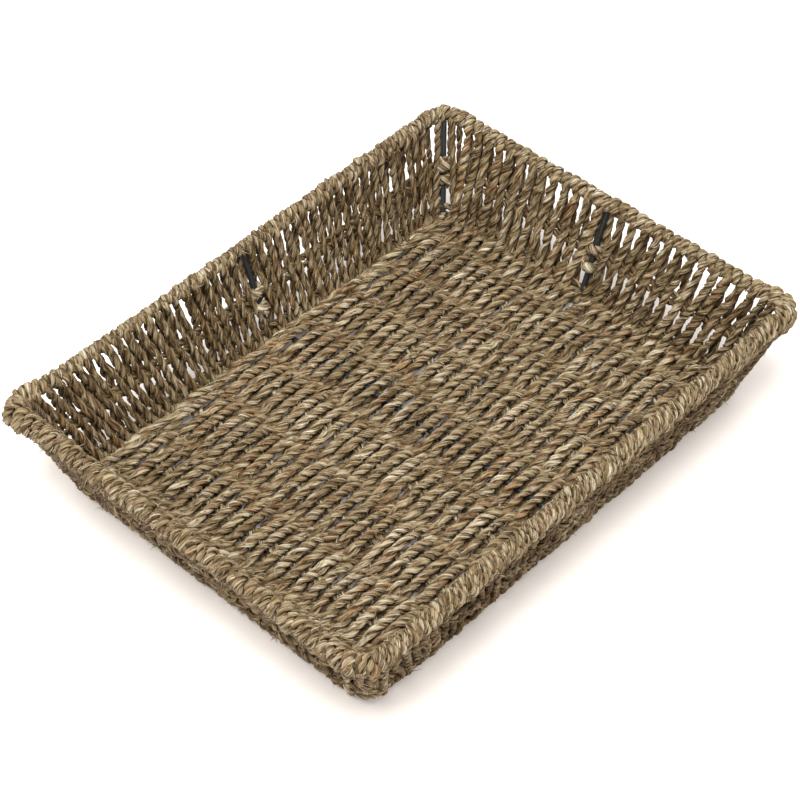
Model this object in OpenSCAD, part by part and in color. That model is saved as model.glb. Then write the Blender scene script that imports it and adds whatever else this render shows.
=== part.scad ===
// Rectangular bread basket: plant-fibre cord laced over a welded rod frame.
// Origin: middle of the base, on the plane that the basket stands on. X is the long way, Z is up.

/* [Basket] */
// Length over the bound rim
basket_l = 400; // [340:1:480]
// Width over the bound rim
basket_w = 307; // [250:1:380]
// Height from the table to the top of the rim
basket_h = 78; // [62:1:110]
// Length of the base between the centres of its end rods
base_l = 337; // [280:1:380]
// Width of the base between the centres of its side rods
base_w = 250; // [200:1:290]

/* [Rod frame] */
// Diameter of every rod in the frame
rod_d = 4; // [3:0.25:5]
// Corner radius of the rim rod, to its centre
rim_corner_r = 14; // [12:0.5:30]
// Corner radius of the base rod, to its centre
base_corner_r = 9; // [8:0.5:14]

/* [Bindings] */
// Width of one turn of the binding cord, pressed flat
bind_w = 6.9; // [5:0.1:8]
// Thickness of the pressed binding cord
bind_t = 3.4; // [2.5:0.1:4]
// Distance from one binding turn to the next
bind_pitch = 7.3; // [7:0.1:12]
// Diameter of the thin tie cord
tie_d = 2.4; // [1.5:0.1:2.6]

/* [Walls] */
// Width of one lacing strand
strand_w = 5; // [3:0.1:5.4]
// Thickness of one lacing strand
strand_t = 3.2; // [2:0.1:3.6]
// Lacing pitch along the rim of a long wall
long_lace_pitch = 8.4; // [7:0.1:12]
// Lacing pitch along the rim of a short wall
short_lace_pitch = 9.9; // [8:0.1:14]
// Diameter of the two waist cords that run between the strands
waist_d = 3.6; // [2.4:0.1:4]
// Height between the centres of the two waist cords
waist_step = 6; // [5:0.1:10]

/* [Floor] */
// Width of one run of the long floor cord, pressed flat
floor_cord_w = 4.2; // [3.2:0.1:4.6]
// Distance from one run of the floor cord to the next
floor_pitch = 4.55; // [4.4:0.05:8]
// Diameter of the doubled cross cords
cross_d = 3.4; // [2:0.1:3.8]
// Places of the cross cords along the base, in shares of its length
cross_at = [-0.375, -0.235, -0.095, 0.165, 0.265, 0.385];
// Place of the cross rod along the base, in shares of its length
cross_wire_at = 0.03; // [-0.03:0.005:0.05]

/* [Clearances] */
// Gap between a cord and the rod that it wraps
wrap_gap = 0.15; // [0.1:0.05:0.3]
// Gap between neighbouring cords, and at the end of a strand
cord_gap = 0.3; // [0.2:0.05:0.5]
// Gap at a welded joint
weld_gap = 0.1; // [0.05:0.05:0.2]

/* [Hidden] */
$fn = 24;
SIDES = ["back", "left", "front", "right"];
CORNERS = ["back_right", "back_left", "front_left", "front_right"];
CORNER_MIRRORS = [[0, 0], [1, 0], [1, 1], [0, 1]];
CROSS_COUNT = len(cross_at);

steel = "#1d1e20";
rim_straw = "#a8946a";
wall_straw = "#8f7a50";
base_straw = "#b09c72";

rod_r = rod_d / 2;
bind_r = rod_r + wrap_gap + bind_t;
tie_r = rod_r + wrap_gap + tie_d;
rim_z = basket_h - bind_r;
base_z = bind_r;
rim_hx = basket_l / 2 - bind_r;
rim_hy = basket_w / 2 - bind_r;
base_hx = base_l / 2;
cross_wire_x = cross_wire_at * base_l;
base_hy = base_w / 2;
rise = rim_z - base_z;

// Lacing strands lie one each side of the plane that the rods lie in
strand_off = rod_r + wrap_gap + strand_t / 2;
strand_end = sqrt(pow(bind_r + cord_gap, 2) - pow(strand_off - strand_t / 2, 2));
half = 0.5;
corner_edge = 3.5;
upright_edge = rod_r + cord_gap;

// Angles about a corner, from the end wall towards the side wall
rim_turn_angles = [24, 66];
base_turn_angles = [21, 69];
inner_strand_angles = [14, 76];
outer_strand_angles = [4, 25, 65, 86];
corner_strand_d = 3.2;

waist_z = (rim_z + base_z) / 2;

// ---- sizes at a height ----
// Rounded to a step, so that a bend starts exactly where its straight ends
size_step = 0.01;
function share(z) = (z - base_z) / rise;
function on_step(size) = round(size / size_step) * size_step;
function at_height(base_size, rim_size, z) = on_step(base_size + (rim_size - base_size) * share(z));
function half_x(z) = at_height(base_hx, rim_hx, z);
function half_y(z) = at_height(base_hy, rim_hy, z);
function corner_r(z) = at_height(base_corner_r, rim_corner_r, z);

function sorted(list) =
    len(list) < 2 ? list :
    concat(sorted([for (v = list) if (v < list[0]) v]),
           [for (v = list) if (v == list[0]) v],
           sorted([for (v = list) if (v > list[0]) v]));

// ---- a side wall, from its number in SIDES: even numbers are the long walls ----
function is_long(side) = side % 2 == 0;
function half_run(side, z) = is_long(side) ? half_x(z) : half_y(z);
function half_depth(side, z) = is_long(side) ? half_y(z) : half_x(z);
function wall_tilt(side) = atan2(half_depth(side, rim_z) - half_depth(side, base_z), rise);
function wall_slope(side) = rise / cos(wall_tilt(side));
function corner_start(side, z) = half_run(side, z) - corner_r(z);

// ---- a corner: centre of its arc, and a point at an angle and a radius change ----
function corner_centre(z) = [half_x(z) - corner_r(z), half_y(z) - corner_r(z), z];
function corner_point(z, angle, offset = 0) =
    corner_centre(z) + (corner_r(z) + offset) * [cos(angle), sin(angle), 0];

// ---- general shapes ----
module rod(from, to, d, trim = 0) {
    way = to - from;
    length = norm(way);
    translate(from)
        rotate([0, acos(way.z / length), atan2(way.y, way.x)])
            translate([0, 0, trim])
                cylinder(d = d, h = length - 2 * trim);
}

// Outline of a round cord pressed flat: t across X, w across Y
module flat_cord(w, t) {
    square([t, w - t], center = true);
    for (s = [-1, 1])
        translate([0, s * (w - t) / 2])
            circle(d = t);
}

// One turn of cord round a rod that runs along Z
module flat_turn(w, t, angle = 360)
    rotate_extrude(angle = angle)
        translate([rod_r + wrap_gap + t / 2, 0])
            flat_cord(w, t);

module round_turn(d, angle = 360)
    rotate_extrude(angle = angle)
        translate([rod_r + wrap_gap + d / 2, 0])
            circle(d = d);

module arc_rod(r, d, angle)
    rotate_extrude(angle = angle)
        translate([r, 0])
            circle(d = d);

// Puts a shape drawn for the back wall on any of the four walls
module on_side(side)
    rotate([0, 0, 90 * side])
        children();

// Puts a shape drawn for the back right corner on any of the four corners
module on_corner(corner)
    mirror([CORNER_MIRRORS[corner][0], 0, 0])
        mirror([0, CORNER_MIRRORS[corner][1], 0])
            children();

// The plane of a wall: X runs along it, Y points out of it and Z runs up its slope
module in_wall(side)
    on_side(side)
        translate([0, half_depth(side, base_z), base_z])
            rotate([-wall_tilt(side), 0, 0])
                children();

// ---- rod frame ----
module rod_loop(z) {
    for (side = [0 : 3])
        on_side(side)
            translate([-corner_start(side, z), half_depth(side, z), z])
                rotate([0, 90, 0])
                    cylinder(d = rod_d, h = 2 * corner_start(side, z));
    for (corner = [0 : 3])
        on_corner(corner)
            translate(corner_centre(z))
                arc_rod(corner_r(z), rod_d, 90);
}

module rim_wire()
    color(steel)
        rod_loop(rim_z);

module base_wire()
    color(steel)
        rod_loop(base_z);

module cross_wire()
    color(steel)
        rod([cross_wire_x, -base_hy, base_z], [cross_wire_x, base_hy, base_z], rod_d, rod_r + weld_gap);

module side_upright(side)
    color(steel)
        in_wall(side)
            rod([0, 0, 0], [0, 0, wall_slope(side)], rod_d, rod_r + weld_gap);

module corner_upright(corner)
    color(steel)
        on_corner(corner)
            rod(corner_point(base_z, 45), corner_point(rim_z, 45), rod_d, rod_r + weld_gap);

// ---- bindings ----
// Turns of cord along one straight stretch of a rod
module binding_run(from, to, w, t) {
    count = max(1, floor((to - from + cord_gap) / max(bind_pitch, w + cord_gap)));
    pitch = (to - from) / count;
    if (pitch > t + 2 * cord_gap)
        for (i = [0 : count - 1])
            translate([from + (i + 0.5) * pitch, 0, 0])
                rotate([0, 90, 0])
                    flat_turn(min(w, pitch - cord_gap), t);
}

// The binding of one side from corner to corner, left open at each rod that joins it
module side_binding(side, z, joins) {
    edge = corner_start(side, z);
    starts = concat([-edge], [for (x = joins) x + upright_edge]);
    ends = concat([for (x = joins) x - upright_edge], [edge]);
    on_side(side)
        translate([0, half_depth(side, z), z])
            for (i = [0 : len(joins)])
                binding_run(starts[i], ends[i], bind_w, bind_t);
}

module corner_turn(z, angle, d)
    translate(corner_point(z, angle))
        rotate([90, 0, angle])
            round_turn(d);

module rim_binding(side)
    color(rim_straw)
        side_binding(side, rim_z, [0]);

module rim_corner_turns(corner)
    color(rim_straw)
        on_corner(corner)
            for (angle = rim_turn_angles)
                corner_turn(rim_z, angle, bind_t);

// The cross rod joins the base rods too, to one side of the uprights
module base_binding(side)
    color(wall_straw)
        side_binding(side, base_z, sorted([0, (side == 0 ? 1 : -1) * cross_wire_x]));

module base_corner_turns()
    color(wall_straw)
        for (corner = [0 : 3])
            on_corner(corner)
                for (angle = base_turn_angles)
                    corner_turn(base_z, angle, tie_d);

// ---- walls ----
// One straight strand from the base rod up to the rim rod, on the face that lies at off
module strand(base_u, rim_u, slope, off) {
    lean = atan2(rim_u - base_u, slope);
    trim = (strand_end + strand_w / 2 * sin(abs(lean))) / cos(lean);
    translate([base_u, off, 0])
        rotate([0, lean, 0])
            translate([0, 0, trim])
                linear_extrude(slope / cos(lean) - 2 * trim)
                    rotate(90)
                        flat_cord(strand_w, strand_t);
}

// Inner strands lean one way and outer strands the other, half a pitch apart, and cross at the waist.
// The side rod stands between two inner strands. Long and short walls lean opposite ways.
module wall_lacing(side) {
    rim_end = corner_start(side, rim_z) - corner_edge;
    base_end = corner_start(side, base_z) - corner_edge;
    wanted = is_long(side) ? long_lace_pitch : short_lace_pitch;
    count = max(1, min(round(rim_end / wanted - half),
                       floor(base_end / (strand_w + cord_gap) - half)));
    rim_pitch = rim_end / (count + half);
    base_pitch = base_end / (count + half);
    lean = is_long(side) ? half : -half;
    color(wall_straw)
        in_wall(side) {
            for (i = [-count : count])
                if (i != 0)
                    strand((i + lean) * base_pitch, (i - lean) * rim_pitch,
                           wall_slope(side), -strand_off);
            for (i = [half - count : count - half])
                strand((i - lean) * base_pitch, (i + lean) * rim_pitch,
                       wall_slope(side), strand_off);
        }
}

module corner_strand(angle, offset) {
    foot = corner_point(base_z, angle, offset);
    head = corner_point(rim_z, angle, offset);
    rod(foot, head, corner_strand_d, strand_end);
}

module corner_lacing(corner)
    color(wall_straw)
        on_corner(corner) {
            offset = strand_off / cos(wall_tilt(1));
            for (angle = inner_strand_angles)
                corner_strand(angle, -offset);
            for (angle = outer_strand_angles)
                corner_strand(angle, offset);
        }

// A waist cord is a run on each side of every side upright, and stops at the ties
module waist_run(side, z) {
    start = tie_r + cord_gap;
    bend = 45 - asin((tie_r + cord_gap) / corner_r(z));
    run = corner_start(side, z);
    translate([start, half_depth(side, z), z])
        rotate([0, 90, 0])
            cylinder(d = waist_d, h = run - start);
    translate([run, half_depth(side, z) - corner_r(z), z])
        rotate([0, 0, 90])
            mirror([0, 1, 0])
                arc_rod(corner_r(z), waist_d, bend);
}

module waist_cord(z)
    color(wall_straw)
        for (side = [0 : 3])
            on_side(side)
                for (s = [0, 1])
                    mirror([s, 0, 0])
                        waist_run(side, z);

// Two thin turns hold the waist cords to each upright. At a side rod they show inside the wall
// only, and end where the waist cords begin.
module upright_ties()
    color(rim_straw)
        for (s = [-1, 1]) {
            z = waist_z + s * waist_step / 2;
            for (side = [0 : 3])
                in_wall(side)
                    translate([0, 0, (z - base_z) / cos(wall_tilt(side))])
                        rotate([0, 0, 180])
                            round_turn(tie_d, 180);
            for (corner = [0 : 3])
                on_corner(corner)
                    corner_tie(z);
        }

module corner_tie(z) {
    way = corner_point(rim_z, 45) - corner_point(base_z, 45);
    translate(corner_point(z, 45))
        rotate([0, acos(way.z / norm(way)), atan2(way.y, way.x)])
            round_turn(tie_d);
}

// ---- floor ----
// Half the length over which a run stays level where it crosses a cross cord or a rod
level_half = cross_d + cord_gap;
lift = rod_r + wrap_gap + bind_t / 2;

// Every place along the base that a run passes over or under, from the left end rod to the right
crossings = sorted(concat([for (at = cross_at) at * base_l], [cross_wire_x]));
STATIONS = len(crossings);

// Centre line of a run, as [x, z]: it hooks round the left end rod, goes over and under the
// crossings in turn, and hooks round the right end rod. way is 1 where it lies on the end rods.
hook_steps = 10;
function hook_point(end, way, turn) =
    [end * (base_hx + lift * sin(turn)), way * lift * cos(turn)];
function hook_in(way) =
    [for (i = [hook_steps : -1 : 0]) hook_point(-1, way, 180 * i / hook_steps)];
function hook_out(way) =
    [for (i = [0 : hook_steps]) hook_point(1, way, 180 * i / hook_steps)];
function woven(way) =
    [for (i = [0 : STATIONS - 1])
        for (s = [-1, 1])
            [crossings[i] + s * level_half, way * lift * (i % 2 == 0 ? -1 : 1)]];
function run_line(way) =
    concat(hook_in(way), [[level_half - base_hx, way * lift]], woven(way),
           [[base_hx - level_half, way * lift]], hook_out(way));

// The line moved sideways by half the cord's thickness, mitred at every bend
function heading(a, b) = atan2(b.y - a.y, b.x - a.x);
function side_line(line, off) =
    [for (i = [0 : len(line) - 1])
        let (before = i == 0 ? heading(line[0], line[1]) : heading(line[i - 1], line[i]),
             after = i == len(line) - 1 ? before : heading(line[i], line[i + 1]),
             bend = ((after - before + 540) % 360) - 180,
             across = before + bend / 2 + 90)
        [line[i].x, line[i].y] + off / cos(bend / 2) * [cos(across), sin(across)]];

function reversed(list) = [for (i = [len(list) - 1 : -1 : 0]) list[i]];

// One run of the floor cord. Runs lie side by side, and each starts the other way from the last.
module floor_run(way)
    rotate([90, 0, 0])
        linear_extrude(floor_cord_w, center = true)
            polygon(concat(side_line(run_line(way), bind_t / 2),
                           reversed(side_line(run_line(way), -bind_t / 2))));

module floor_cord()
    color(base_straw) {
        first = upright_edge + floor_cord_w / 2;
        last = min(base_hy - bind_r - cord_gap, base_hy - base_corner_r) - floor_cord_w / 2;
        count = max(1, floor((last - first) / max(floor_pitch, floor_cord_w + cord_gap)));
        for (s = [-1, 1])
            for (i = [0 : count])
                translate([0, s * (first + i * (last - first) / count), base_z])
                    floor_run(s * (i % 2 == 0 ? 1 : -1));
    }

// A cross cord is a doubled cord between the two layers of the long base cord
module cross_cord(index)
    color(base_straw) {
        bend = (cross_d + cord_gap) / 2;
        reach = base_hy - bind_r - cord_gap - bend - cross_d / 2;
        translate([cross_at[index - 1] * base_l, 0, base_z])
            for (s = [-1, 1]) {
                rod([s * bend, -reach, 0], [s * bend, reach, 0], cross_d);
                translate([0, s * reach, 0])
                    rotate([0, 0, 90 - 90 * s])
                        arc_rod(bend, cross_d, 180);
            }
    }

rim_wire();
base_wire();
cross_wire();
for (i = [0 : 3]) {
    side_upright(i);
    corner_upright(i);
    rim_binding(i);
    rim_corner_turns(i);
    wall_lacing(i);
    corner_lacing(i);
}
base_binding(0);  // base_binding_back
base_binding(2);  // base_binding_front
base_corner_turns();
waist_cord(waist_z + waist_step / 2);  // waist_cord_upper
waist_cord(waist_z - waist_step / 2);  // waist_cord_lower
upright_ties();
floor_cord();
for (i = [1 : CROSS_COUNT]) {
    cross_cord(i);
}
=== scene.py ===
import math

import bpy
import numpy as np
from mathutils import Matrix, Vector


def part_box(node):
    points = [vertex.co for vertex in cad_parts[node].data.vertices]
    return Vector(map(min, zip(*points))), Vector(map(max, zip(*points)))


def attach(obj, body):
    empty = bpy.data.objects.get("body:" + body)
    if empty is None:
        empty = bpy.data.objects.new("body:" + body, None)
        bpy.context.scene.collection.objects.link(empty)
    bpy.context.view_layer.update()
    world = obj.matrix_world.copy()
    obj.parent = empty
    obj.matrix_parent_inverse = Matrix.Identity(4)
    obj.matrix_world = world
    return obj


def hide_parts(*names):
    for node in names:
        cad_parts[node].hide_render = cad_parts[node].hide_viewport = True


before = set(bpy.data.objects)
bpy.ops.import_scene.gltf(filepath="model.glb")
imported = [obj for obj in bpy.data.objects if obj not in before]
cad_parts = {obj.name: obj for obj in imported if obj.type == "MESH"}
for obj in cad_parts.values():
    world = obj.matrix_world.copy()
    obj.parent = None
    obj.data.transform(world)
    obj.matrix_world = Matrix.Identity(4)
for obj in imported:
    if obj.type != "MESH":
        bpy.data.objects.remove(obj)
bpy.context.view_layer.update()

MM = 0.001
rng = np.random.default_rng(20)

# ---------------------------------------------------------------- sizes in mm, from the frame's boxes


def box_mm(node):
    low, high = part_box(node)
    return np.array(low) / MM, np.array(high) / MM


def middle_mm(node, axis):
    """Middle of a node's box along one axis."""
    low, high = box_mm(node)
    return float((low[axis] + high[axis]) / 2)


rim_low, rim_high = box_mm("rim_wire")
_, base_high = box_mm("base_wire")
ROD_R = (rim_high[2] - rim_low[2]) / 2
# The rods' loops: half sizes, height and corner radius
RIM = dict(x=rim_high[0] - ROD_R, y=rim_high[1] - ROD_R, z=rim_high[2] - ROD_R, r=14.0)
BASE = dict(x=base_high[0] - ROD_R, y=base_high[1] - ROD_R, z=base_high[2] - ROD_R, r=9.0)
RISE = RIM["z"] - BASE["z"]
CROSS_X = [middle_mm(f"cross_cord_{i}", 0) for i in range(1, 7)]
WIRE_X = middle_mm("cross_wire", 0)
WAIST_Z = [middle_mm(f"waist_cord_{name}", 2) for name in ("lower", "upper")]

# Gaps and cord sizes as in the part's source, as the corner radii are
WRAP_GAP = 0.15  # between a cord and the rod under it
CORD_GAP = 0.3  # between neighbouring cords
CORD_T = 3.4  # thickness of cord pressed on a rod
FLOOR_HALF_W = 2.1  # half the width of a run of the floor
LIFT = ROD_R + WRAP_GAP + CORD_T / 2  # from the middle of a rod to the middle of the cord round it

LAY = 15.5  # length of one full twist of a two-ply cord

# Walls and corners, anticlockwise from above
SIDES = ["back", "left", "front", "right"]
BACK, LEFT, FRONT, RIGHT = range(4)
CORNERS = ["back_right", "back_left", "front_left", "front_right"]
CORNER_SIGNS = [(1, 1), (-1, 1), (-1, -1), (1, -1)]
INNER, OUTER = -1, 1  # faces of a wall
UP = np.array([0.0, 0.0, 1.0])


def lerp(a, b, t):
    return a + (b - a) * t


def smooth(t):
    t = np.clip(t, 0.0, 1.0)
    return t * t * (3.0 - 2.0 * t)


def unit(v):
    return v / np.maximum(np.linalg.norm(v, axis=-1, keepdims=True), 1e-9)


def run_along(points):
    """Distance of each point from the first one, along the line."""
    return np.concatenate([[0.0], np.cumsum(np.linalg.norm(np.diff(points, axis=0), axis=1))])


def follow(at, run, rows):
    """The rows at the distances in at, where run holds the distance of each row."""
    return np.stack([np.interp(at, run, column) for column in rows.T], 1)


def raised(rows, z):
    """Flat points or directions, with a height added to each."""
    return np.column_stack([rows, np.broadcast_to(z, len(rows))])


def wander(distance, reach, size):
    """Smooth random values along s, which change over about reach."""
    knots = int(distance[-1] / reach) + 4
    values = rng.normal(0.0, 1.0, knots)
    at = distance / reach + rng.uniform(0.0, 0.99)
    first = np.floor(at).astype(int)
    part = smooth(at - first)
    return size * lerp(values[first], values[first + 1], part)


def any_angle():
    return rng.uniform(0, 2 * math.pi)


def either_way():
    return rng.choice([-1.0, 1.0])


# ---------------------------------------------------------------- twisted cord


class Line:
    """The middle of a cord at even steps: distance, place, directions, half sizes and shade."""

    def __init__(self, path, normal, width, thick, shade, step):
        path, normal = np.asarray(path, float), np.asarray(normal, float)
        run = run_along(path)
        self.distance = np.linspace(0.0, run[-1], max(4, int(run[-1] / step) + 1))
        self.place = follow(self.distance, run, path)
        self.along = unit(np.gradient(self.place, axis=0))
        self.across = unit(np.cross(follow(self.distance, run, normal), self.along))
        self.out = np.cross(self.along, self.across)
        self.half_w, self.half_t, self.shade = (
            np.interp(self.distance, run, np.broadcast_to(values, len(path)))
            for values in (width / 2, thick / 2, shade)
        )


class Weave:
    """Collects twisted cords and their loose fibres into one mesh, with fibre coordinates, tones and
    painted shade in the creases.
    """

    RING = 15  # points round a ply
    BLADES = 5  # blades of grass in a ply
    RIDGE = 0.13  # depth of the grooves between them, as a share of the ply's radius
    BLADE_SPIN = 34.0  # length over which the blades turn once round their ply
    PLY_OFFSET = 0.45  # middle of a ply, as a share of the way out from the cord's middle
    PLY_REACH = (0.57, 0.74)  # half sizes of a ply outward and sideways, as shares of the cord's
    FIBRE_R = 1.35  # radius of a ply in the fibre coordinates
    FLOOR_ROOM = 0.02  # the cord keeps this far above the floor, mm

    def __init__(self):
        self.points, self.fibres, self.tones, self.faces = [], [], [], []
        self.count = 0

    def cord(self, path, normal, width, thick, step=1.6, lay=LAY, tone=(1.0, 0.0), rough=1.0,
             plies=2, stray=0.09, proud=0.16, shade=1.0):
        """Adds a cord. Tone is how bright and how red it is, stray and proud give blades per mm."""
        line = Line(path, normal, width, thick, shade, step)
        twist = 2 * math.pi * line.distance / (lay * rng.uniform(0.82, 1.22))
        turn = twist + any_angle() + wander(line.distance, 11, 0.75)
        patch = wander(line.distance, 38, 0.10)
        for ply in range(plies):
            angle = turn + 2 * math.pi * ply / plies + wander(line.distance, 9, 0.16)
            self._ply(line, angle, plies == 2, patch, tone, rough)
        for _ in range(rng.poisson(line.distance[-1] * proud)):
            self._proud_blade(line, turn, tone)
        for _ in range(rng.poisson(line.distance[-1] * stray)):
            at = rng.integers(1, len(line.distance) - 1)
            angle = any_angle()
            way = either_way()
            for _ in range(rng.choice([1, 1, 2, 5])):
                self._loose_fibre(line, at, angle + rng.normal(0, 0.35), way, tone)

    def _ply(self, line, turn, twisted, patch, tone, rough):
        """One ply, which goes round the cord's middle by the angle turn: blades with grooves between."""
        distance, half_w, half_t = line.distance, line.half_w[:, None], line.half_t[:, None]
        cosine, sine = np.cos(turn)[:, None], np.sin(turn)[:, None]
        radial = cosine * line.across * half_w + sine * line.out * half_t
        side = -sine * line.across * half_w + cosine * line.out * half_t
        fat = 1.0 + wander(distance, 3.5, 0.12 * rough)[:, None]
        fat = fat + wander(distance, 22, 0.07 * rough)[:, None]
        offset = (self.PLY_OFFSET + wander(distance, 12, 0.06 * rough))[:, None] if twisted else 0.0
        reach_r, reach_s = self.PLY_REACH if twisted else (1.0, 1.0)
        ends = np.clip(np.minimum(distance, distance[-1] - distance) / 1.2, 0.45, 1.0)[:, None]
        number = np.arange(self.RING)
        spin = 2 * math.pi * number / self.RING
        ridge = -np.cos(2 * math.pi * self.BLADES * number / self.RING)[None, :]
        angle = spin[None, :] - (2 * math.pi * distance / self.BLADE_SPIN)[:, None] + any_angle()
        blade = np.stack([wander(distance, 5, 0.07 * rough) for _ in number], 1)
        lobe = 1.0 + self.RIDGE * ridge + blade
        ring = (
            (line.place + offset * radial)[:, None, :]
            + (reach_r * fat * ends * lobe * np.cos(angle))[:, :, None] * radial[:, None, :]
            + (reach_s * fat * ends * lobe * np.sin(angle))[:, :, None] * side[:, None, :]
        )
        places = (self.FIBRE_R * np.cos(spin), self.FIBRE_R * np.sin(spin), distance[:, None])
        fibre = np.stack([np.broadcast_to(values, angle.shape) for values in places], 2)
        bright = line.shade * tone[0] * (1.0 + rng.normal(0, 0.08) + patch + wander(distance, 8, 0.09))
        rust = tone[1] + rng.normal(0, 0.08) + wander(distance, 14, 0.16)
        # Painted shade: the side of each ply that faces the other ply, and the grooves between blades, are
        # darkened as shade in the creases
        inner = 0.5 - 0.5 * np.cos(angle) if twisted else np.zeros_like(angle)
        crease_shade = np.clip(1.05 * inner ** 1.6 + 0.42 * np.maximum(-ridge, 0.0), 0.0, 1.0)
        self._tube(ring, fibre + rng.uniform(0, 200, 3), bright, rust, crease_shade)

    def _proud_blade(self, line, turn, tone):
        """A thin blade that lies along a ply and stands a little proud of it."""
        steps = len(line.distance)
        first = rng.integers(0, max(1, steps - 4))
        at = np.arange(first, min(first + rng.integers(4, 9), steps))
        share = np.linspace(0.0, 1.0, len(at))
        angle = turn[at] + rng.choice([0.0, math.pi]) + rng.normal(0, 0.55) + rng.normal(0, 0.7) * share
        reach = 0.97 + rng.uniform(0.0, 0.16) * (2 * share - 1) ** 2
        radial = (reach * np.cos(angle) * line.half_w[at])[:, None] * line.across[at]
        radial = radial + (reach * np.sin(angle) * line.half_t[at])[:, None] * line.out[at]
        size = rng.uniform(0.24, 0.46) * (1.0 - 0.75 * (2 * share - 1) ** 4)
        bright = line.shade[at] * tone[0] * rng.uniform(0.72, 1.38)
        self._fibre(line.place[at] + radial, unit(radial), size, bright, tone[1])

    def _loose_fibre(self, line, at, angle, way, tone):
        """A thin blade end that leaves the cord at one step and curls."""
        cosine, sine = math.cos(angle), math.sin(angle)
        across, out = line.across[at], line.out[at]
        away = cosine * across + sine * out
        start = line.place[at] + 0.72 * (cosine * line.half_w[at] * across + sine * line.half_t[at] * out)
        reach = rng.uniform(1.8, 5.6)
        head = unit(line.along[at] * way + away * rng.uniform(0.15, 0.75))
        bend = unit(rng.normal(0, 1.0, 3) - 0.5 * away) * rng.uniform(0.1, 0.7)
        share = np.linspace(0.0, 1.0, 5)[:, None]
        size = rng.uniform(0.18, 0.36) * (1.0 - 0.7 * share[:, 0] ** 2)
        bright = tone[0] * rng.uniform(0.8, 1.45)
        self._fibre(start + reach * (share * head + share * share * bend), away, size, bright, tone[1])

    def _fibre(self, path, away, size, bright, rust):
        """A three-sided blade along a path, flat against the direction away."""
        ahead = unit(np.gradient(path, axis=0))
        flat = unit(np.cross(ahead, away))
        lift = np.cross(flat, ahead)
        angle = 2 * math.pi * np.arange(3) / 3 + math.pi / 2
        ring = (path[:, None, :] + (size[:, None] * np.cos(angle))[:, :, None] * flat[:, None, :]
                + (0.6 * size[:, None] * np.sin(angle))[:, :, None] * lift[:, None, :])
        fibre = np.broadcast_to(rng.uniform(0, 200, 3), ring.shape) + ring * 0.3
        rust = np.full(len(path), rust + rng.normal(0.0, 0.2))
        self._tube(ring, fibre, np.broadcast_to(bright, len(path)), rust, np.zeros((len(path), 3)))

    def _tube(self, ring, fibre, bright, rust, crease_shade):
        """Adds a closed tube through rings of points."""
        steps, around = ring.shape[:2]
        index = self.count + np.arange(steps * around).reshape(steps, around)
        after = np.roll(index, -1, axis=1)
        self.faces.append(np.stack([index[:-1], after[:-1], after[1:], index[1:]], 2).reshape(-1, 4))
        self.faces.append(index[:1, ::-1])
        self.faces.append(index[-1:])
        self.points.append(ring.reshape(-1, 3))
        self.fibres.append(fibre.reshape(-1, 3))
        tones = (bright[:, None], rust[:, None], crease_shade)
        tones = [np.broadcast_to(values, (steps, around)) for values in tones]
        self.tones.append(np.stack(tones, 2).reshape(-1, 3))
        self.count += steps * around

    def build(self, name, material, slot, *nodes):
        """Makes the piece, which replaces the CAD nodes given."""
        points = np.concatenate(self.points) * MM
        points[:, 2] = np.maximum(points[:, 2], self.FLOOR_ROOM * MM)
        mesh = bpy.data.meshes.new(name)
        mesh.vertices.add(len(points))
        mesh.vertices.foreach_set("co", points.astype(np.float32).ravel())
        loops = np.concatenate([f.ravel() for f in self.faces])
        sizes = np.concatenate([np.full(len(f), f.shape[1]) for f in self.faces])
        mesh.loops.add(len(loops))
        mesh.loops.foreach_set("vertex_index", loops.astype(np.int32))
        mesh.polygons.add(len(sizes))
        mesh.polygons.foreach_set("loop_start", (np.cumsum(sizes) - sizes).astype(np.int32))
        mesh.update(calc_edges=True)
        mesh.validate()
        mesh.polygons.foreach_set("use_smooth", np.ones(len(mesh.polygons), dtype=bool))
        for key, values in (("fibre", self.fibres), ("tone", self.tones)):
            attribute = mesh.attributes.new(key, "FLOAT_VECTOR", "POINT")
            attribute.data.foreach_set("vector", np.concatenate(values).astype(np.float32).ravel())
        mesh.materials.append(material)
        piece = bpy.data.objects.new(name, mesh)
        bpy.context.scene.collection.objects.link(piece)
        if nodes:
            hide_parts(*nodes)
        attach(piece, "root")


# ---------------------------------------------------------------- materials


def new_material(name):
    material = bpy.data.materials.new(name)
    material.use_nodes = True
    tree = material.node_tree
    tree.nodes.clear()
    out = tree.nodes.new("ShaderNodeOutputMaterial")
    shader = tree.nodes.new("ShaderNodeBsdfPrincipled")
    tree.links.new(shader.outputs["BSDF"], out.inputs["Surface"])
    return material, tree, shader


def add_node(tree, kind, **values):
    node = tree.nodes.new(kind)
    for key, value in values.items():
        if hasattr(node, key):
            setattr(node, key, value)
        else:
            node.inputs[key].default_value = value
    return node


def ramp(tree, source, stops):
    node = tree.nodes.new("ShaderNodeValToRGB")
    tree.links.new(source, node.inputs["Fac"])
    while len(node.color_ramp.elements) < len(stops):
        node.color_ramp.elements.new(0.5)
    for element, (at, colour) in zip(node.color_ramp.elements, stops):
        element.position = at
        element.color = (*colour, 1.0)
    return node.outputs["Color"]


def mix(tree, kind, factor, a, b):
    """Mixes two colours, each of them a colour or an output, as the factor may be."""
    node = tree.nodes.new("ShaderNodeMix")
    node.data_type = "RGBA"
    node.blend_type = kind
    for socket, value in ((node.inputs[0], factor), (node.inputs[6], a), (node.inputs[7], b)):
        if hasattr(value, "is_output"):
            tree.links.new(value, socket)
        elif isinstance(value, (int, float)):
            socket.default_value = value
        else:
            socket.default_value = (*value, 1.0)
    return node.outputs[2]


def math_node(tree, operation, a, b, clamp=False):
    node = tree.nodes.new("ShaderNodeMath")
    node.operation = operation
    node.use_clamp = clamp
    for socket, value in zip(node.inputs, (a, b)):
        if hasattr(value, "is_output"):
            tree.links.new(value, socket)
        else:
            socket.default_value = value
    return node.outputs[0]


def scaled(tree, source, factor):
    return math_node(tree, "MULTIPLY", source, factor)


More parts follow.
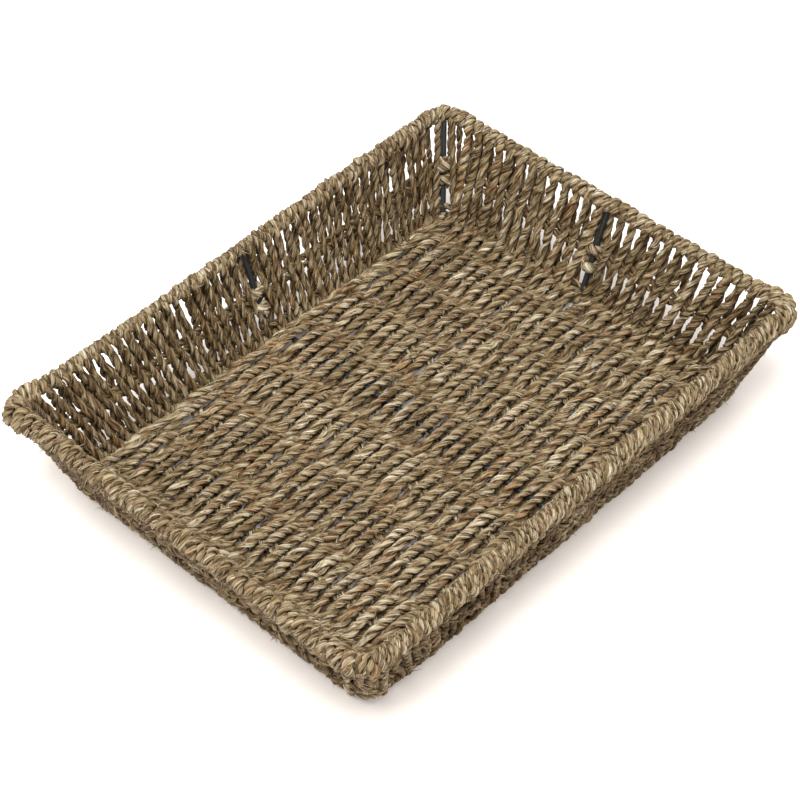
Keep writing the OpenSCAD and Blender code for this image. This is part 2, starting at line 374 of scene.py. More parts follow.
def rising(tree, source, start, slope):
    """Nothing up to start, then rising by slope, up to one."""
    return math_node(tree, "MULTIPLY", math_node(tree, "SUBTRACT", source, start), slope, clamp=True)


def bumped(tree, shader, height, strength, distance):
    bump = add_node(tree, "ShaderNodeBump", Strength=strength, Distance=distance * MM)
    tree.links.new(height, bump.inputs["Height"])
    tree.links.new(bump.outputs["Normal"], shader.inputs["Normal"])


# Tints that multiply the grass: reddish and green blades, and painted shade between blades and between
# plies
RUST = (0.94, 0.69, 0.52)
GREEN = (0.80, 0.88, 0.62)
BLADE_GAP_SHADE = (0.42, 0.33, 0.22)
PLY_GROOVE_SHADE = (0.24, 0.125, 0.035)
# How fast red, green and blue follow the tone: darker grass is browner, which also paints the warm shade of
# light bounced between cords where the tone holds painted shade
TONE_POWERS = (1.0, 1.2, 1.55)
ALONG_BLADE = 0.14  # the pattern's scale along a blade, against one across it


def seagrass(name, dark, mid, pale):
    """Dry seagrass: flat blades side by side, each of its own tone, with fine streaks along them, and
    painted shade between blades and plies.
    """
    material, tree, shader = new_material(name)
    link = tree.links.new
    fibre = add_node(tree, "ShaderNodeAttribute", attribute_name="fibre")
    tone = add_node(tree, "ShaderNodeAttribute", attribute_name="tone")
    parts = tree.nodes.new("ShaderNodeSeparateXYZ")
    link(tone.outputs["Vector"], parts.inputs[0])
    level, redness, crease_shade = parts.outputs
    stretch = add_node(tree, "ShaderNodeMapping")
    stretch.inputs["Scale"].default_value = (1.0, 1.0, ALONG_BLADE)
    link(fibre.outputs["Vector"], stretch.inputs["Vector"])
    blades = add_node(tree, "ShaderNodeTexVoronoi", Scale=1.25)
    fine = add_node(tree, "ShaderNodeTexNoise", Scale=1.9, Detail=4.0, Roughness=0.7)
    for node in (blades, fine):
        link(stretch.outputs["Vector"], node.inputs["Vector"])
    patch = add_node(tree, "ShaderNodeTexNoise", Scale=0.16, Detail=2.0, Roughness=0.5)
    link(fibre.outputs["Vector"], patch.inputs["Vector"])
    own = tree.nodes.new("ShaderNodeSeparateColor")
    link(blades.outputs["Color"], own.inputs[0])
    own_pale, own_red, own_green = own.outputs
    streak = math_node(tree, "ADD", scaled(tree, fine.outputs["Fac"], 0.72), scaled(tree, own_pale, 0.28))
    colour = ramp(tree, streak, [(0.34, dark), (0.50, mid), (0.66, pale)])
    green = rising(tree, own_green, 0.62, 1.6)
    colour = mix(tree, "MIX", green, colour, mix(tree, "MULTIPLY", 1.0, colour, GREEN))
    reddish = math_node(tree, "ADD", scaled(tree, own_red, 0.45), redness)
    reddish = math_node(tree, "ADD", reddish, scaled(tree, patch.outputs["Fac"], 1.1))
    reddish = rising(tree, reddish, 0.95, 2.2)
    colour = mix(tree, "MIX", reddish, colour, mix(tree, "MULTIPLY", 1.0, colour, RUST))
    # Painted shade: the colour darkens towards each blade's edges, as shade in the gaps between blades
    colour = mix(tree, "MULTIPLY", rising(tree, blades.outputs["Distance"], 0.42, 1.6), colour, BLADE_GAP_SHADE)
    colour = mix(tree, "MULTIPLY", scaled(tree, crease_shade, 0.92), colour, PLY_GROOVE_SHADE)
    # Painted light and shade: level carries each blade's own brightness together with the painted shade of
    # the floor's under runs and of the walls' outer faces, and the painted light of each wall
    levels = tree.nodes.new("ShaderNodeCombineColor")
    for socket, power in zip(levels.inputs[:3], TONE_POWERS):
        link(math_node(tree, "POWER", level, power), socket)
    colour = mix(tree, "MULTIPLY", 1.0, colour, levels.outputs[0])
    link(colour, shader.inputs["Base Color"])
    shader.inputs["Roughness"].default_value = 0.6
    shader.inputs["Specular IOR Level"].default_value = 0.25
    sunk = scaled(tree, blades.outputs["Distance"], 0.7)
    bumped(tree, shader, math_node(tree, "SUBTRACT", fine.outputs["Fac"], sunk), 1.0, 0.55)
    return material


def black_steel():
    """Black paint on steel, a little uneven."""
    material, tree, shader = new_material("black_steel")
    place = tree.nodes.new("ShaderNodeTexCoord")
    spots = add_node(tree, "ShaderNodeTexNoise", Scale=900.0, Detail=4.0, Roughness=0.6)
    tree.links.new(place.outputs["Object"], spots.inputs["Vector"])
    blacks = [(0.35, (0.008, 0.009, 0.010)), (0.75, (0.030, 0.031, 0.034))]
    tree.links.new(ramp(tree, spots.outputs["Fac"], blacks), shader.inputs["Base Color"])
    rough = math_node(tree, "ADD", scaled(tree, spots.outputs["Fac"], 0.3), 0.28)
    tree.links.new(rough, shader.inputs["Roughness"])
    bumped(tree, shader, spots.outputs["Fac"], 0.25, 0.05)
    return material


# Dark, middle and pale of the streaks
PALE_GRASS = (0.090, 0.047, 0.012), (0.335, 0.252, 0.138), (0.455, 0.405, 0.303)
DARK_GRASS = (0.068, 0.034, 0.008), (0.250, 0.179, 0.089), (0.44, 0.370, 0.25)
FLOOR_MAT = seagrass("seagrass_floor", *PALE_GRASS)
WALL_MAT = seagrass("seagrass_wall", *DARK_GRASS)
RIM_MAT = seagrass("seagrass_rim", *PALE_GRASS)
STEEL = black_steel()

UPRIGHTS = [f"side_upright_{name}" for name in SIDES] + [f"corner_upright_{name}" for name in CORNERS]
for node in ["rim_wire", "base_wire", "cross_wire"] + UPRIGHTS:
    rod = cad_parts[node]
    rod.data.materials.clear()
    rod.data.materials.append(STEEL)

# ---------------------------------------------------------------- woven floor

RUNS = 50
STRIPS = 7
HOOK_POINTS = 10
HOOK_W, HOOK_T = 5.6, 4.4  # width and thickness of a run on the end rod
# Height of the runs over and under a cross cord, from the middle of the floor
OVER, UNDER = 4.3, 3.2
# Levels of a run from under to over, and its width and thickness there: it spreads where it goes under
WIDTH_LEVELS, RUN_WIDTHS = [-1.0, -0.3, 0.4, 1.0], [9.4, 7.6, 6.1, 6.2]
THICK_LEVELS, RUN_THICKS = [-1, 0, 1], [4.4, 5.0, 4.7]
# Painted shade and light: runs are painted darker where they dip under a cross cord and lighter where they
# pass over it
PAINTED_SHADE_UNDER, PAINTED_LIGHT_OVER = 0.66, 1.06  # how light a run is there
SPREAD_REACH = 40.0  # length from each end rod over which the runs come to lie evenly

FIRST_RUN = ROD_R + CORD_GAP + FLOOR_HALF_W
EDGE_RUN = BASE["y"] - BASE["r"] - FLOOR_HALF_W
SIDE_RUNS = RUNS // 2
cad_y = [FIRST_RUN + i * (EDGE_RUN - FIRST_RUN) / (SIDE_RUNS - 1) for i in range(SIDE_RUNS)]
run_y = [-y for y in reversed(cad_y)] + cad_y
even_y = np.linspace(-EDGE_RUN, EDGE_RUN, RUNS)
knots_x = np.array([-BASE["x"]] + sorted(CROSS_X + [WIRE_X]) + [BASE["x"]])


def floor_hook(run, end, way, y_body):
    """Path and normals of a run round the rod at one end, towards the run that it pairs with there."""
    pair = run + (1 if (run % 2 == 0) == (end > 0) else -1)
    y_end = run_y[run] if pair < 0 or pair >= RUNS else (run_y[run] + run_y[pair]) / 2
    angle = np.radians(np.linspace(90, 5, HOOK_POINTS) if end < 0 else np.linspace(5, 90, HOOK_POINTS))
    y = lerp(y_body, y_end, (angle / (math.pi / 2)) ** 1.2)
    x = end * (BASE["x"] + LIFT * np.sin(angle))
    z = BASE["z"] + way * LIFT * np.cos(angle)
    z = z + ((OVER if way > 0 else UNDER) - LIFT) * way * (1.0 - np.sin(angle))
    normal = np.stack([end * np.sin(angle) * way, np.zeros_like(angle), np.cos(angle)], 1)
    return np.stack([x, y, z], 1), normal


def floor_run(weave, run):
    """One run of the floor, over and under the cross cords in turn, with a hook at each end."""
    way = 1.0 if run % 2 == 1 else -1.0
    x = np.arange(-BASE["x"], BASE["x"] + 0.5, 1.0)
    distance = x + BASE["x"]
    span = np.clip(np.searchsorted(knots_x, x, side="right") - 1, 0, len(knots_x) - 2)
    share = (x - knots_x[span]) / (knots_x[span + 1] - knots_x[span])
    sign = way * np.where(span % 2 == 0, 1.0, -1.0)
    level = sign * (1.0 - 2.0 * smooth((share - 0.10) / 0.80))
    inside = smooth((BASE["x"] - np.abs(x)) / SPREAD_REACH)
    astray = rng.normal(0, 0.40) + wander(distance, 30, 0.55)
    y = lerp(run_y[run], even_y[run], inside) + inside * astray
    height = lerp(OVER, UNDER, smooth(0.5 - 0.5 * level))
    z = BASE["z"] + height * level + wander(distance, 20, 0.4)
    uneven = 1 + rng.normal(0, 0.06) + wander(distance, 22, 0.09)
    width = np.interp(level, WIDTH_LEVELS, RUN_WIDTHS) * uneven
    thick = np.interp(level, THICK_LEVELS, RUN_THICKS)
    # Painted shade: the run darkens where it goes under, as occlusion would shade it
    shade = lerp(PAINTED_SHADE_UNDER, PAINTED_LIGHT_OVER, smooth(0.5 + 0.5 * level))
    left_path, left_normal = floor_hook(run, -1, way, y[0])
    right_path, right_normal = floor_hook(run, 1, way, y[-1])
    hook = np.ones(HOOK_POINTS)
    path = np.concatenate([left_path, np.stack([x, y, z], 1), right_path])
    normal = np.concatenate([left_normal, np.tile(UP, (len(x), 1)), right_normal])
    width = np.concatenate([HOOK_W * hook, width, HOOK_W * hook])
    thick = np.concatenate([HOOK_T * hook, thick, HOOK_T * hook])
    shade = np.concatenate([hook, shade, hook])
    tone = (1.0 + rng.normal(0, 0.08), rng.normal(0.0, 0.08))
    weave.cord(path, normal, width, thick, tone=tone, stray=0.26, shade=shade)


EDGE_END = 6  # the cords along the edge stop this far from the end rods
EDGE_OUT, EDGE_UP = 5.4, 3.4  # their middle, from the last run and from the middle of the floor
EDGE_APART = 1.9, 1.7  # how far each lies from that middle, sideways and up
EDGE_TURN = 14.0  # length over which they go round each other by one radian


def floor_edge_pair(weave, side):
    """Two cords twisted round each other along one long edge of the floor."""
    x = np.arange(-BASE["x"] + EDGE_END, BASE["x"] - EDGE_END, 1.0)
    lean = np.tile([0.0, -side * 0.45, 1.0], (len(x), 1))
    out, up = EDGE_APART
    for way in (-1, 1):
        y = side * (EDGE_RUN + EDGE_OUT + out * way * np.cos(x / EDGE_TURN)) + wander(x - x[0], 22, 0.4)
        z = BASE["z"] + EDGE_UP + up * way * np.sin(x / EDGE_TURN) + wander(x - x[0], 25, 0.4)
        weave.cord(np.stack([x, y, z], 1), lean, 5.4, 4.6, lay=27.0, stray=0.2)


CROSS_APART = 1.9  # half the distance between the two cords of a pair


def cross_pair(weave, x):
    """Two thin cords side by side across the floor."""
    for way in (-1, 1):
        y = np.linspace(-EDGE_RUN - 1, EDGE_RUN + 1, 160)
        across = x + way * CROSS_APART + wander(y - y[0], 18, 0.25)
        path = np.stack([across, y, np.full_like(y, BASE["z"])], 1)
        weave.cord(path, np.tile(UP, (len(y), 1)), 4.0, 3.4, lay=13.0, tone=(1.2, -0.1), stray=0.0)


# The floor, the windings and the lacing are built in parts, so that each mesh stays moderate
for number, runs in enumerate(np.array_split(np.arange(RUNS), STRIPS), 1):
    strip = Weave()
    for run in runs:
        floor_run(strip, int(run))
    strip.build(f"woven_floor_{number}", FLOOR_MAT, "floor_cord", "floor_cord")

edge = Weave()
for side in (-1, 1):
    floor_edge_pair(edge, side)
edge.build("floor_edge_cords", FLOOR_MAT, "floor_cord")

for number, x in enumerate(CROSS_X, 1):
    cross = Weave()
    cross_pair(cross, x)
    cross.build(f"cross_cord_pair_{number}", FLOOR_MAT, "floor_cord", f"cross_cord_{number}")

# ---------------------------------------------------------------- loops round the basket

LOOP_STEP = 1.5  # distance between the points of a loop


def rounded(size):
    """Points and outward normals of a loop, anticlockwise from the start of its right side."""
    points, normals = [], []
    x, y, bend = size["x"], size["y"], size["r"]
    end_x, end_y = x - bend, y - bend
    straight = [((x, -end_y), (x, end_y), (1, 0)), ((end_x, y), (-end_x, y), (0, 1)),
                ((-x, end_y), (-x, -end_y), (-1, 0)), ((-end_x, -y), (end_x, -y), (0, -1))]
    centres = [np.array([end_x * sx, end_y * sy]) for sx, sy in CORNER_SIGNS]
    for side, (start, stop, outward) in enumerate(straight):
        start, stop = np.array(start), np.array(stop)
        count = int(np.linalg.norm(stop - start) / LOOP_STEP)
        for share in np.arange(count) / count:
            points.append(lerp(start, stop, share))
            normals.append(outward)
        for angle in np.radians(90.0 * side + np.arange(0, 90, 90 * LOOP_STEP / (bend * math.pi / 2))):
            outward = np.array([math.cos(angle), math.sin(angle)])
            points.append(centres[side] + bend * outward)
            normals.append(outward)
    return np.array(points + points[:1]), np.array(normals + normals[:1])


def between(share):
    """Size of the loop at a share of the way from the base rod to the rim rod."""
    return {key: lerp(BASE[key], RIM[key], share) for key in "xyzr"}


def loop_at(z):
    """Points and outward normals of the loop on the walls at a height."""
    return rounded(between((z - BASE["z"]) / RISE))


TURN_POINTS = 22  # points in one turn of a winding
SWELL_REACH = 20.0  # length over which a winding stands out near a corner


def winding(weave, size, side, pitch, radius, width, thick, lay, tone, bulges, rough=1.4):
    """Cord wound round a rod along one side of the loop, from corner to corner, one turn every pitch."""
    points, normals = rounded(size)
    run = run_along(points)
    lengths = [2 * (size["y"] - size["r"]), 2 * (size["x"] - size["r"])] * 2
    bend = size["r"] * math.pi / 2
    start = sum(lengths[:side]) + side * bend - bend / 2
    stop = start + lengths[side] + bend
    turns = max(1, round((stop - start) / pitch))
    distance = np.linspace(start - 1.0, stop + 1.0, turns * TURN_POINTS + 1)
    at = distance % run[-1]
    middle = follow(at, run, points)
    outward = unit(follow(at, run, normals))
    swell = 0.0
    for bulge, corner in zip(bulges, (start, stop)):
        swell = swell + bulge * np.exp(-(((distance - corner) / SWELL_REACH) ** 2))
    distance = distance - distance[0]
    turned = distance / distance[-1] * turns + wander(distance, 2.2 * pitch, 0.09)
    angle = -2 * math.pi * turned + wander(distance, 7, 0.21 * rough)
    reach = radius + wander(distance, 4, 0.25) + wander(distance, 8, 0.35) + wander(distance, 170, 0.35)
    reach = reach + 0.5 * swell
    out = raised(outward * np.cos(angle)[:, None], np.sin(angle))
    path = raised(middle + outward * swell[:, None] * 0.6, size["z"]) + out * reach[:, None]
    fat = 1 + wander(distance, 30, 0.07) + 0.06 * swell
    weave.cord(path, out, width * fat, thick * fat, step=1.3, lay=lay, tone=tone, rough=rough, proud=0.42)


def core(weave, size):
    """Straw that lies under the turns, so that no rod shows between them, painted dark as the shade between
    the turns.
    """
    points, normals = rounded(size)
    path = raised(points, size["z"])
    # Painted shade: the core is painted at 0.55 brightness, as shade between the turns
    weave.cord(path, raised(normals, 0.0), 5.8, 5.8, tone=(0.55, 0.0), plies=1, stray=0.0, rough=0.5)


# The windings go round from the right side, and each ends at the corner of its own number in CORNERS
WINDING_SIDES = ["right", "back", "left", "front"]
# Turns of the rim on each side: pitch, width, thickness and lay of the cord in mm, and how bright it is
RIM_TURNS = [(7.0, 6.8, 4.1, 10.5, 1.10), (6.8, 6.4, 3.8, 10.5, 1.0),
             (6.4, 6.5, 4.9, 9.6, 0.97), (4.8, 5.4, 4.5, 8.5, 0.95)]
# How far the turns stand out at the corner where each side starts and ends, mm
RIM_BULGES = [(2.4, 0.6), (0.6, 3.6), (3.6, 0.5), (0.5, 2.4)]
RIM_RED = -0.16  # less red than the floor
for side, (name, bulges) in enumerate(zip(WINDING_SIDES, RIM_BULGES)):
    pitch, width, thick, lay, bright = RIM_TURNS[side]
    rough = 2.0 if name in ("left", "front") else 1.4
    radius = LIFT + 0.5 * (thick - 4.3)
    rim = Weave()
    winding(rim, RIM, side, pitch, radius, width, thick, lay, (bright, RIM_RED), bulges, rough)
    nodes = f"rim_binding_{name}", f"rim_corner_turns_{CORNERS[side]}"
    rim.build(f"rim_winding_{name}", RIM_MAT, "rim_cord", *nodes)
rim = Weave()
core(rim, RIM)
rim.build("rim_straw_core", RIM_MAT, "rim_cord")

# How far the turns of the foot stand out at each side's start and end: they draw in at the near corner
FOOT_BULGES = [(0.0, 0.0), (0.0, 0.0), (0.0, -2.2), (-2.2, 0.0)]
FOOT_NODES = ["base_corner_turns", "base_binding_back", "base_corner_turns", "base_binding_front"]
for side, (name, bulges, node) in enumerate(zip(WINDING_SIDES, FOOT_BULGES, FOOT_NODES)):
    foot = Weave()
    winding(foot, BASE, side, 7.0, LIFT, 7.2, 3.8, 10.5, (0.95, 0.0), bulges)
    foot.build(f"base_winding_{name}", WALL_MAT, "wall_cord", node)

FOOT_CORD_Z = BASE["z"] + 8.0
foot = Weave()
core(foot, BASE)
points, normals = loop_at(FOOT_CORD_Z)
foot.cord(raised(points, FOOT_CORD_Z), raised(normals, 0.0), 5.2, 3.2, tone=(0.85, 0.1))
foot.build("base_core_and_foot_cord", WALL_MAT, "wall_cord")

# ---------------------------------------------------------------- wall lacing


def wall_frame(side):
    """Origin, along, up the slope, outward and slope length of one wall."""
    long = side in (BACK, FRONT)
    depth = (BASE["y"], RIM["y"]) if long else (BASE["x"], RIM["x"])
    tilt = math.atan2(depth[1] - depth[0], RISE)
    turn = math.radians(90 * side)
    along = np.array([math.cos(turn), math.sin(turn), 0.0])
    out_flat = np.array([-math.sin(turn), math.cos(turn), 0.0])
    up = out_flat * math.sin(tilt) + UP * math.cos(tilt)
    out = out_flat * math.cos(tilt) - UP * math.sin(tilt)
    origin = out_flat * depth[0] + UP * BASE["z"]
    return origin, along, up, out, RISE / math.cos(tilt)


LONG_COUNT, SHORT_COUNT = 21, 13  # strands in half a wall
LONG_STRAND, SHORT_STRAND = (4.9, 3.9), (5.9, 4.2)  # their width and thickness
END_ROOM = 3.5  # between the last strand and the start of the corner's bend
# In pitches: how far a strand's foot stands off its middle, and how far the outer strands are shifted
LONG_LEAN, SHORT_LEAN = (0.62, -0.12), (-0.5, 0.0)
OUTER_SPREAD = 1.01  # the outer strands' pitch, as a share of the inner ones'
SLACK_PITCH = 0.85  # distance between loose turns, in pitches of the foot
# Painted light: each wall is painted lighter or darker as the key light falls on it, and the right wall is
# lightest
WALL_PAINTED_LIGHT = (0.98, 0.92, 0.92, 1.08)  # back, left, front, right
STRAND_POINTS = 44
STRAND_OUT = 3.75  # distance of a strand's middle from the rods' plane
STRAND_BOW = 0.75  # how much nearer to that plane it is at mid height
HEAD_PAST = 1.5  # its head ends this far past the middle of the rim rod
HEAD_OUT, HEAD_IN = 1.6, 2.2  # it stands out to pass over the rim's turns, and then rounds off


def strand(weave, side, foot_at, head_at, face):
    """One strand up a face of a wall, from its place along the base rod to its place along the rim rod."""
    origin, along, up, out, slope = wall_frame(side)
    height = np.linspace(0.0, slope + HEAD_PAST, STRAND_POINTS)
    share = height / slope
    bow = np.sin(math.pi * np.clip(share, 0, 1))
    loose = 2.0 if face == OUTER and side in (LEFT, FRONT) else 1.0
    sideways = lerp(foot_at, head_at, share) + bow * rng.normal(0, 0.6)
    sideways = sideways + loose * wander(height, 18.0 / loose ** 0.7, 0.5) + rng.normal(0, 0.4)
    over = smooth((height - slope + 8.0) / 6.0)
    round_off = smooth((height - slope + 2.5) / 4.0)
    off = STRAND_OUT - STRAND_BOW * bow + rng.normal(0, 0.15) + loose * wander(height, 16, 0.2)
    off = face * (off + HEAD_OUT * over - HEAD_IN * round_off)
    path = origin + sideways[:, None] * along + height[:, None] * up + off[:, None] * out
    normal = np.tile(out * face, (len(height), 1))
    width, thick = LONG_STRAND if side in (BACK, FRONT) else SHORT_STRAND
    width = width * (1 + rng.normal(0, 0.10)) * (1 + wander(height, 18, 0.09) - 0.10 * head_at / RIM["x"])
    if side == BACK:
        width = width * (1 + 0.15 * max(-head_at / RIM["x"], 0.0) * smooth((share - 0.55) / 0.2))
    # Painted shade: the outer strands are painted at 0.8 of the inner ones' brightness, as the outer faces
    # lie in shade
    bright = WALL_PAINTED_LIGHT[side] * (1.0 if face == INNER else 0.80) + rng.normal(0, 0.10)
    tone = (bright, rng.normal(0.03, 0.10))
    stray, proud = (0.12, 0.16) if face == INNER else (0.02, 0.07)
    weave.cord(path, normal, width, thick, lay=17.0 / loose ** 0.5, tone=tone, rough=loose, stray=stray,
               proud=proud)


LOOSE_POINTS = 14  # points in a loose turn of cord


def slack_turn(weave, side, middle_sideways, middle_height):
    """A short loose turn of cord, out of the wall's outer face and in again."""
    origin, along, up, out, _ = wall_frame(side)
    angle = np.linspace(0.0, math.pi, LOOSE_POINTS)
    reach = rng.uniform(2.6, 4.6)
    rise = rng.uniform(2.5, 6.5)
    way = either_way()
    sideways = middle_sideways - way * reach * np.cos(angle)
    height = middle_height + rise * (np.sin(angle) - 0.5) * rng.uniform(0.2, 1.0)
    height = height + 0.5 * rise * np.cos(angle)
    off = 2.2 + 3.4 * np.sin(angle) ** 0.7
    path = origin + sideways[:, None] * along + height[:, None] * up + off[:, None] * out
    normal = np.sin(angle)[:, None] * out - (way * np.cos(angle))[:, None] * along
    width = 4.6 * rng.uniform(0.8, 1.15)
    tone = (WALL_PAINTED_LIGHT[side] * 0.95 + rng.normal(0, 0.12), rng.normal(0.03, 0.12))
    weave.cord(path, normal, width, 3.4, step=1.2, lay=10.0, tone=tone, rough=1.5, stray=0.05)


def lacing(side):
    """Inner strands lean one way and outer ones the other, half a pitch apart, as in the CAD part."""
    halves = Weave(), Weave()
    long = side in (BACK, FRONT)
    count = LONG_COUNT if long else SHORT_COUNT
    axis = "x" if long else "y"
    rim_pitch = (RIM[axis] - RIM["r"] - END_ROOM) / (count + 0.5)
    base_pitch = (BASE[axis] - BASE["r"] - END_ROOM) / (count + 0.5)
    lean, phase = LONG_LEAN if long else SHORT_LEAN
    more = 1 if long else 0
    left_out = {BACK: (0, count + more), RIGHT: (0, -count - 1 + more)}.get(side, (0,))
    for place in range(-count - 1 + more, count + 1 + more):
        if place not in left_out:
            strand(halves[place > 0], side, (place + lean) * base_pitch, (place - lean) * rim_pitch, INNER)
    for place in np.arange(0.5 - count - more, count + 1 - more):
        at = OUTER_SPREAD * place + phase
        strand(halves[int(place > 0)], side, (at - lean) * base_pitch, (at + lean) * rim_pitch, OUTER)
    if side in (LEFT, FRONT):
        slope = wall_frame(side)[4]
        for sideways in np.arange(-count * base_pitch, count * base_pitch, SLACK_PITCH * base_pitch):
            middle = sideways + rng.normal(0, 2.0)
            slack_turn(halves[int(sideways > 0)], side, middle, slope * rng.uniform(0.10, 0.84))
    name = SIDES[side]
    for number, half in enumerate(halves, 1):
        half.build(f"lacing_{name}_{number}", WALL_MAT, "wall_cord", f"wall_lacing_{name}")


for side in range(4):
    lacing(side)

# Strands of a corner's fan: face, angle in degrees, and how far foot and head stand off along the wall, mm
FAN = [(INNER, 11, 0, 0), (INNER, 79, 0, 0), (OUTER, 3, 0, 0), (OUTER, 31, 0, 0), (OUTER, 59, 0, 0),
       (OUTER, 87, 0, 0)]
# The fan at the far corner stands more open, so that light shows through it
OPEN_FAN = [(INNER, 11, 5.0, 0.2), (INNER, 79, 2.2, -0.9), (OUTER, 3, 3.0, -1.4), (OUTER, 31, 4.6, -1.2),
            (OUTER, 59, 1.6, -0.9), (OUTER, 87, -4.0, 0.6)]
FAN_POINTS = 40
FAN_LENGTH = 70  # of a strand, about
FAN_OUT = 3.9  # distance of a strand's middle from the rods' plane

# Loose turns over the near corner's fan: angle in degrees, and height as a share of the wall's
NEAR_LOOPS = [(20, 0.80), (46, 0.62), (72, 0.78), (28, 0.42), (62, 0.36), (42, 0.16), (80, 0.20), (8, 0.22)]


def corner_loop(weave, sx, sy, angle, share):
    """A short loose turn of cord over the outer strands of a corner's fan."""
    half_turn = np.linspace(0.0, math.pi, LOOSE_POINTS)
    way = either_way()
    rise = rng.uniform(2.5, 5.0)
    lean = rng.uniform(-0.6, 0.6)
    at = between(share)
    bearing = np.radians(angle) - way * (rng.uniform(3.2, 4.6) / at["r"]) * np.cos(half_turn)
    flat = raised(np.stack([np.cos(bearing) * sx, np.sin(bearing) * sy], 1), 0.0)
    off = 1.8 + 4.0 * np.sin(half_turn) ** 0.7
    centre = np.array([(at["x"] - at["r"]) * sx, (at["y"] - at["r"]) * sy, at["z"]])
    path = centre + flat * (at["r"] + off)[:, None]
    path[:, 2] += rise * (np.sin(half_turn) - 0.6) + 3.0 * lean * np.cos(half_turn)
    tone = (0.98 + rng.normal(0, 0.12), rng.normal(0.03, 0.12))
    weave.cord(path, flat, 4.6, 3.6, step=1.2, lay=10.0, tone=tone, rough=1.5, stray=0.05)


def fan_strand(weave, sx, sy, face, angle, foot_off, head_off):
    """One strand of a corner's fan, from the base rod's corner to the rim rod's."""
    bearing = math.radians(angle + rng.normal(0, 1.5))
    flat = np.array([math.cos(bearing) * sx, math.sin(bearing) * sy])
    away = np.array([math.sin(bearing) * sx, -math.cos(bearing) * sy]) * (1.0 if angle < 45 else -1.0)
    ends = []
    for size, off in ((BASE, foot_off), (RIM, head_off)):
        centre = np.array([(size["x"] - size["r"]) * sx, (size["y"] - size["r"]) * sy])
        ends.append(np.append(centre + flat * (size["r"] + face * FAN_OUT) + away * off, size["z"]))
    share = np.linspace(0, 1, FAN_POINTS)
    path = ends[0] + (ends[1] - ends[0]) * share[:, None]
    path[:, :2] += wander(share * FAN_LENGTH, 20, 0.3)[:, None] * np.array([-flat[1], flat[0]])
    normal = np.tile(np.append(flat, 0.0) * face, (FAN_POINTS, 1))
    width = 4.5 if face == INNER else lerp(4.4, 4.8, share)
    weave.cord(path, normal, width, 3.8, tone=(1.0 + rng.normal(0, 0.07), rng.normal(0.03, 0.12)))


for name, (sx, sy) in zip(CORNERS, CORNER_SIGNS):
    fan = Weave()
    for one in OPEN_FAN if name == "back_right" else FAN:
        fan_strand(fan, sx, sy, *one)
    for one in NEAR_LOOPS if name == "front_left" else ():
        corner_loop(fan, sx, sy, *one)
    fan.build(f"corner_fan_{name}", WALL_MAT, "wall_cord", f"corner_lacing_{name}")

# ---------------------------------------------------------------- waist cords and ties

WAIST_W, WAIST_T = 6.4, 2.9  # width and thickness of a waist cord
WAIST_LENGTH = 1200  # its length, about
WAIST_DRAW = 0.24  # both lie nearer to the middle between them than in the CAD part, by this share
for name, z in zip(("waist_cord_lower", "waist_cord_upper"), WAIST_Z):
    weave = Weave()
    points, normals = loop_at(z)
    lift = wander(np.linspace(0, WAIST_LENGTH, len(points)), 30, 0.3) + WAIST_DRAW * (sum(WAIST_Z) / 2 - z)
    path, normal = raised(points, z + lift), raised(normals, 0.0)
    weave.cord(path, normal, WAIST_W, WAIST_T, lay=11.0, tone=(0.85, 0.15))
    weave.build(f"{name}_twist", WALL_MAT, "wall_cord", name)

# Loops of cord at each upright, as heights from the middle of the upright, mm
LOOP_HEIGHTS = (3.0, -10.0)
LOOP_TURNS = 1.35
LOOP_POINTS = 50
LOOP_R = 4.8
TIE_W, TIE_T = 7.0, 4.4  # width and thickness of their cord


def side_upright(side):
    """Foot, head and outward direction of the upright at the middle of a wall."""
    origin, _, up, out, slope = wall_frame(side)
    return origin, origin + up * slope, out


def corner_upright(sx, sy):
    """Foot, head and outward direction of a corner's upright."""
    ends = []
    for size in (BASE, RIM):
        reach = math.cos(math.radians(45)) * size["r"]
        x, y = ((size[key] - size["r"] + reach) for key in "xy")
        ends.append(np.array([x * sx, y * sy, size["z"]]))
    return ends[0], ends[1], unit(np.array([sx, sy, 0.0]))


def tie(weave, foot_at, head_at, outward):
    """Loops of cord that hold the waist cords to an upright."""
    up = unit(head_at - foot_at)
    along = unit(np.cross(outward, up))
    out = np.cross(up, along)
    for height in LOOP_HEIGHTS:
        angle = np.linspace(0, 2 * math.pi * LOOP_TURNS, LOOP_POINTS) + rng.uniform(0, 6)
        heights = height + np.linspace(-2.6, 2.6, LOOP_POINTS) + rng.normal(0, 0.5)
        reach = LOOP_R + wander(angle - angle[0], 2.0, 0.3)
        path = ((foot_at + head_at) / 2 + heights[:, None] * up
                + (reach * np.cos(angle))[:, None] * along + (0.92 * reach * np.sin(angle))[:, None] * out)
        normal = np.cos(angle)[:, None] * along + np.sin(angle)[:, None] * out
        weave.cord(path, normal, TIE_W, TIE_T, lay=11.0, tone=(1.15, -0.05), stray=0.2)


ties = Weave()
for side, signs in enumerate(CORNER_SIGNS):
    tie(ties, *side_upright(side))
    tie(ties, *corner_upright(*signs))
ties.build("upright_tie_turns", RIM_MAT, "rim_cord", "upright_ties")

# ---------------------------------------------------------------- stage, light and camera, in metres

HALF_STAGE = 12.0
stage_mat, _, stage_shader = new_material("pale_floor")
stage_shader.inputs["Base Color"].default_value = (0.84, 0.79, 0.745, 1.0)
stage_shader.inputs["Roughness"].default_value = 0.9
# Painted light: the floor glows a little, warm, which lifts its shadow round the basket and the shade seen
# through the floor's gaps
stage_shader.inputs["Emission Color"].default_value = (1.0, 0.88, 0.78, 1.0)
stage_shader.inputs["Emission Strength"].default_value = 0.08
plane = bpy.data.meshes.new("pale_floor")
stage_corners = [(HALF_STAGE * sx, HALF_STAGE * sy, 0) for sx, sy in ((-1, -1), (1, -1), (1, 1), (-1, 1))]
plane.from_pydata(stage_corners, [], [(0, 1, 2, 3)])
plane.materials.append(stage_mat)
ground = bpy.data.objects.new("pale_floor", plane)
bpy.context.scene.collection.objects.link(ground)

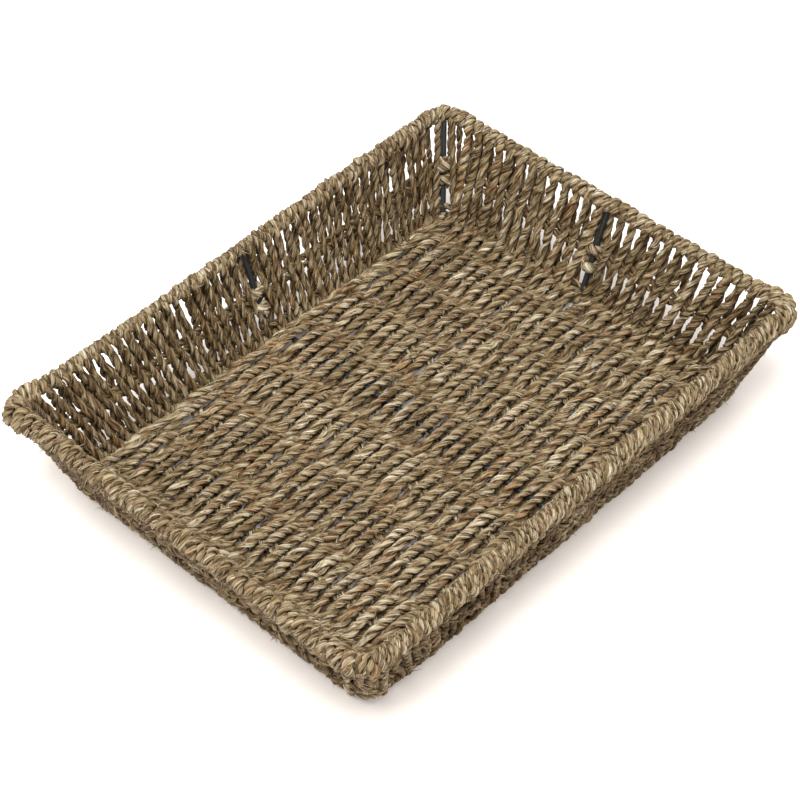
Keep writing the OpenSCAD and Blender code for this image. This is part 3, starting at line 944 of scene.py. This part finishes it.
SKY_STRENGTH = 1.15
world = bpy.data.worlds.new("studio")
world.use_nodes = True
sky = world.node_tree.nodes["Background"]
sky.inputs["Color"].default_value = (1.0, 1.0, 1.0, 1.0)
sky.inputs["Strength"].default_value = SKY_STRENGTH
bpy.context.scene.world = world

KEY_AT = Vector((-0.7, -0.35, 2.3))
KEY_SIZE, KEY_POWER = 1.4, 75.0
key_data = bpy.data.lights.new("key", "AREA")
key_data.shape = "SQUARE"
key_data.size = KEY_SIZE
key_data.energy = KEY_POWER
key_light = bpy.data.objects.new("key", key_data)
key_light.location = KEY_AT
key_light.rotation_euler = (-KEY_AT).to_track_quat("-Z", "Y").to_euler()
bpy.context.scene.collection.objects.link(key_light)

# Camera, in radians: azimuth from +Y towards +X, how far it looks down, and a small roll
AZIMUTH, ELEVATION, ROLL = 0.808952, 0.801493, -0.013611
CAMERA_AT = (-0.740066, -0.698201, 1.085988)
FOCAL_PIXELS, FRAME_PIXELS, SENSOR = 2331.87, 800.0, 36.0
sin_azimuth, cos_azimuth = math.sin(AZIMUTH), math.cos(AZIMUTH)
sin_elevation, cos_elevation = math.sin(ELEVATION), math.cos(ELEVATION)
ahead = Vector((sin_azimuth * cos_elevation, cos_azimuth * cos_elevation, -sin_elevation))
level_right = Vector((cos_azimuth, -sin_azimuth, 0.0))
level_up = level_right.cross(ahead)
right = math.cos(ROLL) * level_right + math.sin(ROLL) * level_up
upward = -math.sin(ROLL) * level_right + math.cos(ROLL) * level_up
camera_data = bpy.data.cameras.new("camera")
camera_data.sensor_width = SENSOR
camera_data.lens = FOCAL_PIXELS / FRAME_PIXELS * SENSOR
camera_data.clip_start = 0.05
camera_data.clip_end = 50.0
camera = bpy.data.objects.new("camera", camera_data)
turn = Matrix((right, upward, -ahead)).transposed().to_4x4()
camera.matrix_world = Matrix.Translation(Vector(CAMERA_AT)) @ turn
bpy.context.scene.collection.objects.link(camera)
bpy.context.scene.camera = camera
bpy.context.scene.view_settings.view_transform = "Standard"
